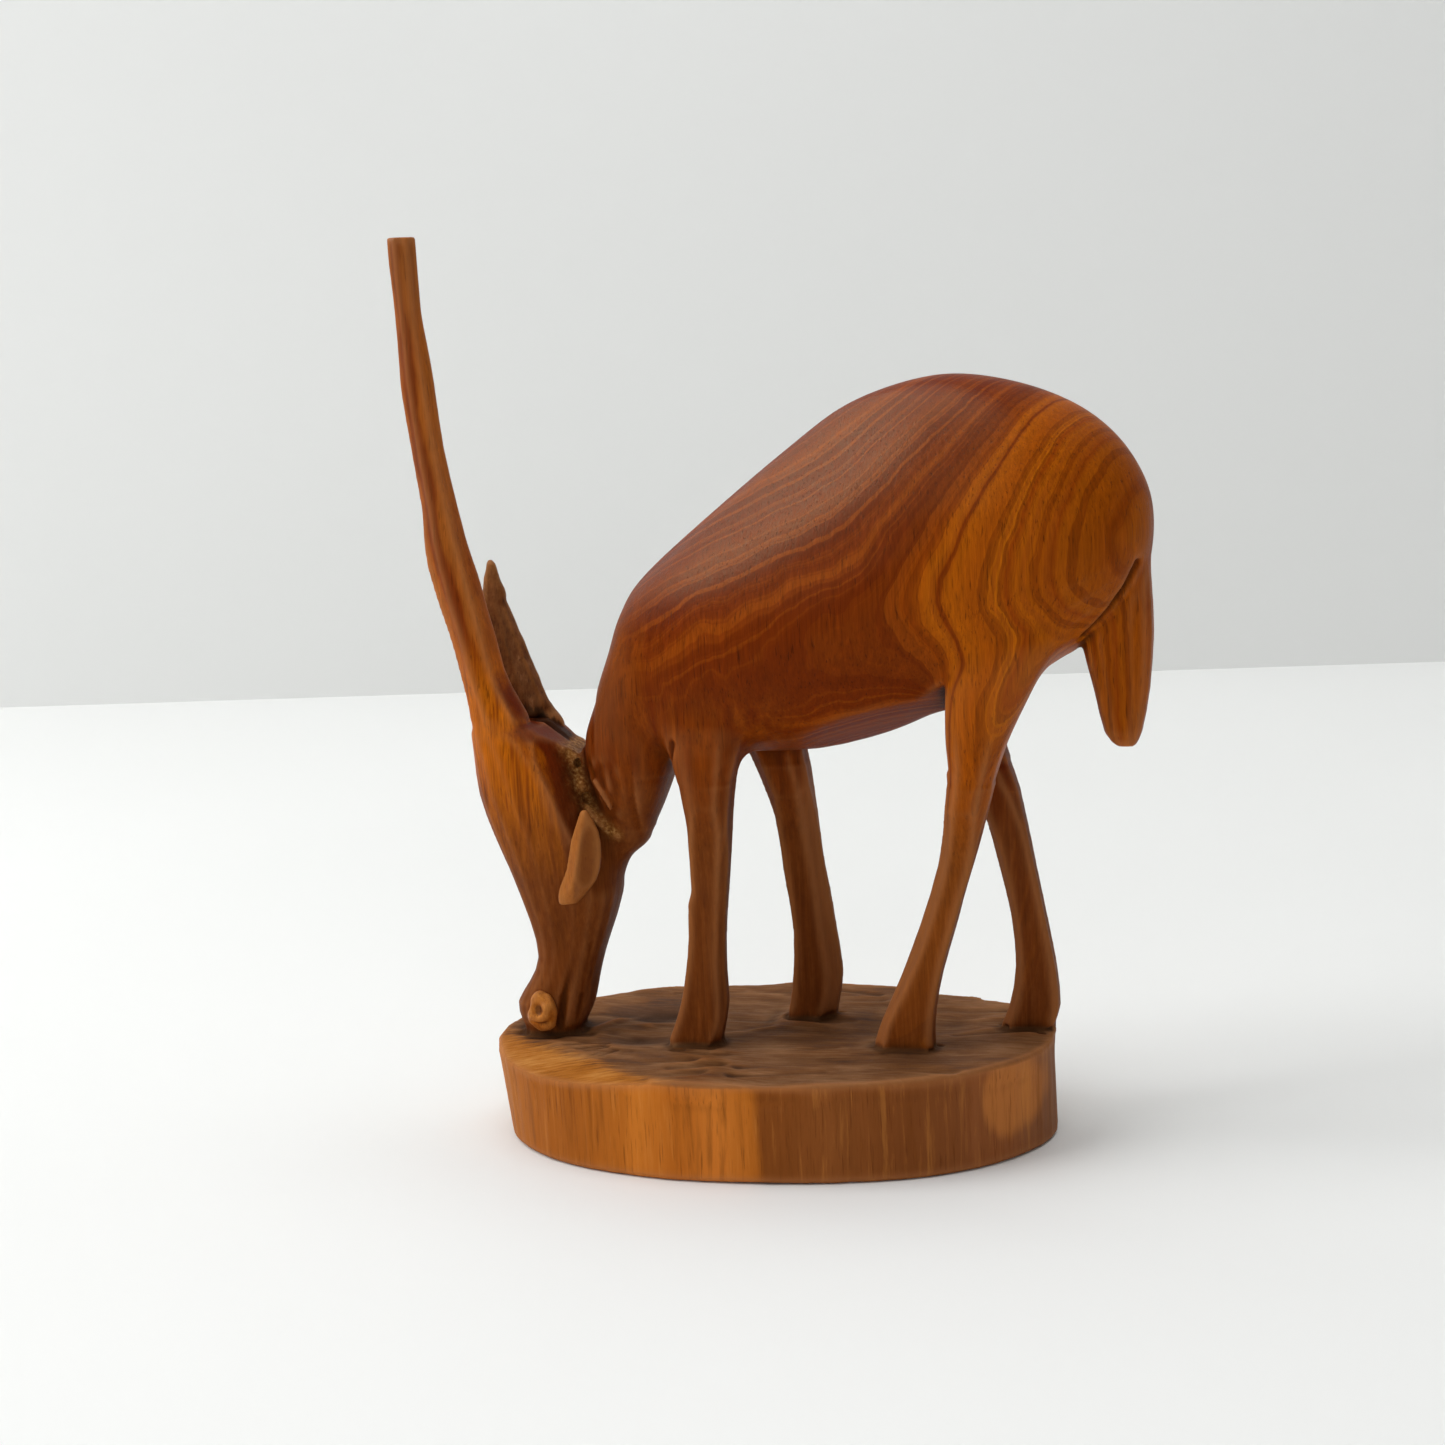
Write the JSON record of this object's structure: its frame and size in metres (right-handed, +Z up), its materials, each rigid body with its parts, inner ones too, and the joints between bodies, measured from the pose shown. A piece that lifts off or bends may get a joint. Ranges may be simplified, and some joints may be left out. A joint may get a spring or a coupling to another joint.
{
  "type": "carved wooden antelope figure",
  "caption": "Hand-carved wooden grazing antelope with one long horn and one short horn, standing on an oval plinth; free-standing ornament.",
  "frame": {"origin": "middle of the flat underside of the oval plinth", "axes": "+Z up along the grain and the long horn; +X along the plinth from head to rump; +Y across, away from the side that shows the long horn in front"},
  "size_m": [0.115, 0.058, 0.1424],
  "materials": {
    "body_wood": "satin oiled hardwood, reddish-brown heartwood running into golden sapwood, upright grain",
    "horn_wood": "satin oiled hardwood, golden brown with dark streaks and fine knife marks",
    "dull_wood": "matte brown hardwood, unpolished inner face",
    "plinth_wood": "satin oiled hardwood on the side, dull grey-brown and chisel-marked on the top",
    "pale_wood": "matte light orange freshly cut hardwood"
  },
  "bodies": {
    "root": {"plinth": "plinth_wood", "torso": "body_wood", "neck": "body_wood", "head": "body_wood", "near_horn": "horn_wood", "far_horn": "dull_wood", "near_ear": "pale_wood", "muzzle_knob": "pale_wood", "tail": "body_wood", "near_front_leg": "body_wood", "far_front_leg": "body_wood", "near_hind_leg": "body_wood", "far_hind_leg": "body_wood"}
  },
  "joints": []
}
